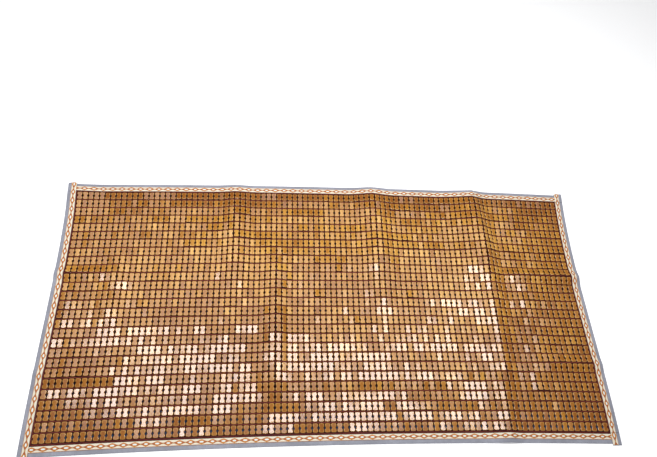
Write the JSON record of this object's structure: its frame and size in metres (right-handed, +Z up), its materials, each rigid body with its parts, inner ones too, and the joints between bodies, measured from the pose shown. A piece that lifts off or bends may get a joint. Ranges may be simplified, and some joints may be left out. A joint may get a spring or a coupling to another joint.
{
  "type": "bamboo sleeping mat",
  "caption": "Sleeping mat of small waisted bamboo tiles laced on dark cords, edged with a grey cloth band and a cream and brown woven braid, lying open with low buckles.",
  "frame": {"origin": "on the floor under the middle of the mat's outline", "axes": "+X along the mat's length, +Y across it towards its back long side, +Z up from the floor"},
  "size_m": [1.9552, 1.0132, 0.0296],
  "materials": {
    "bamboo": "lacquered bamboo, semi-gloss",
    "band_cloth": "plain woven grey cloth with a faint sheen",
    "woven_braid": "jacquard woven braid",
    "lacing_cord": "dark red-brown braided cord"
  },
  "bodies": {
    "root": {"tile_field": "bamboo", "cloth_band_front": "band_cloth", "cloth_band_back": "band_cloth", "cloth_band_left": "band_cloth", "cloth_band_right": "band_cloth", "braid_front": "woven_braid", "braid_back": "woven_braid", "braid_left": "woven_braid", "braid_right": "woven_braid"}
  },
  "joints": []
}
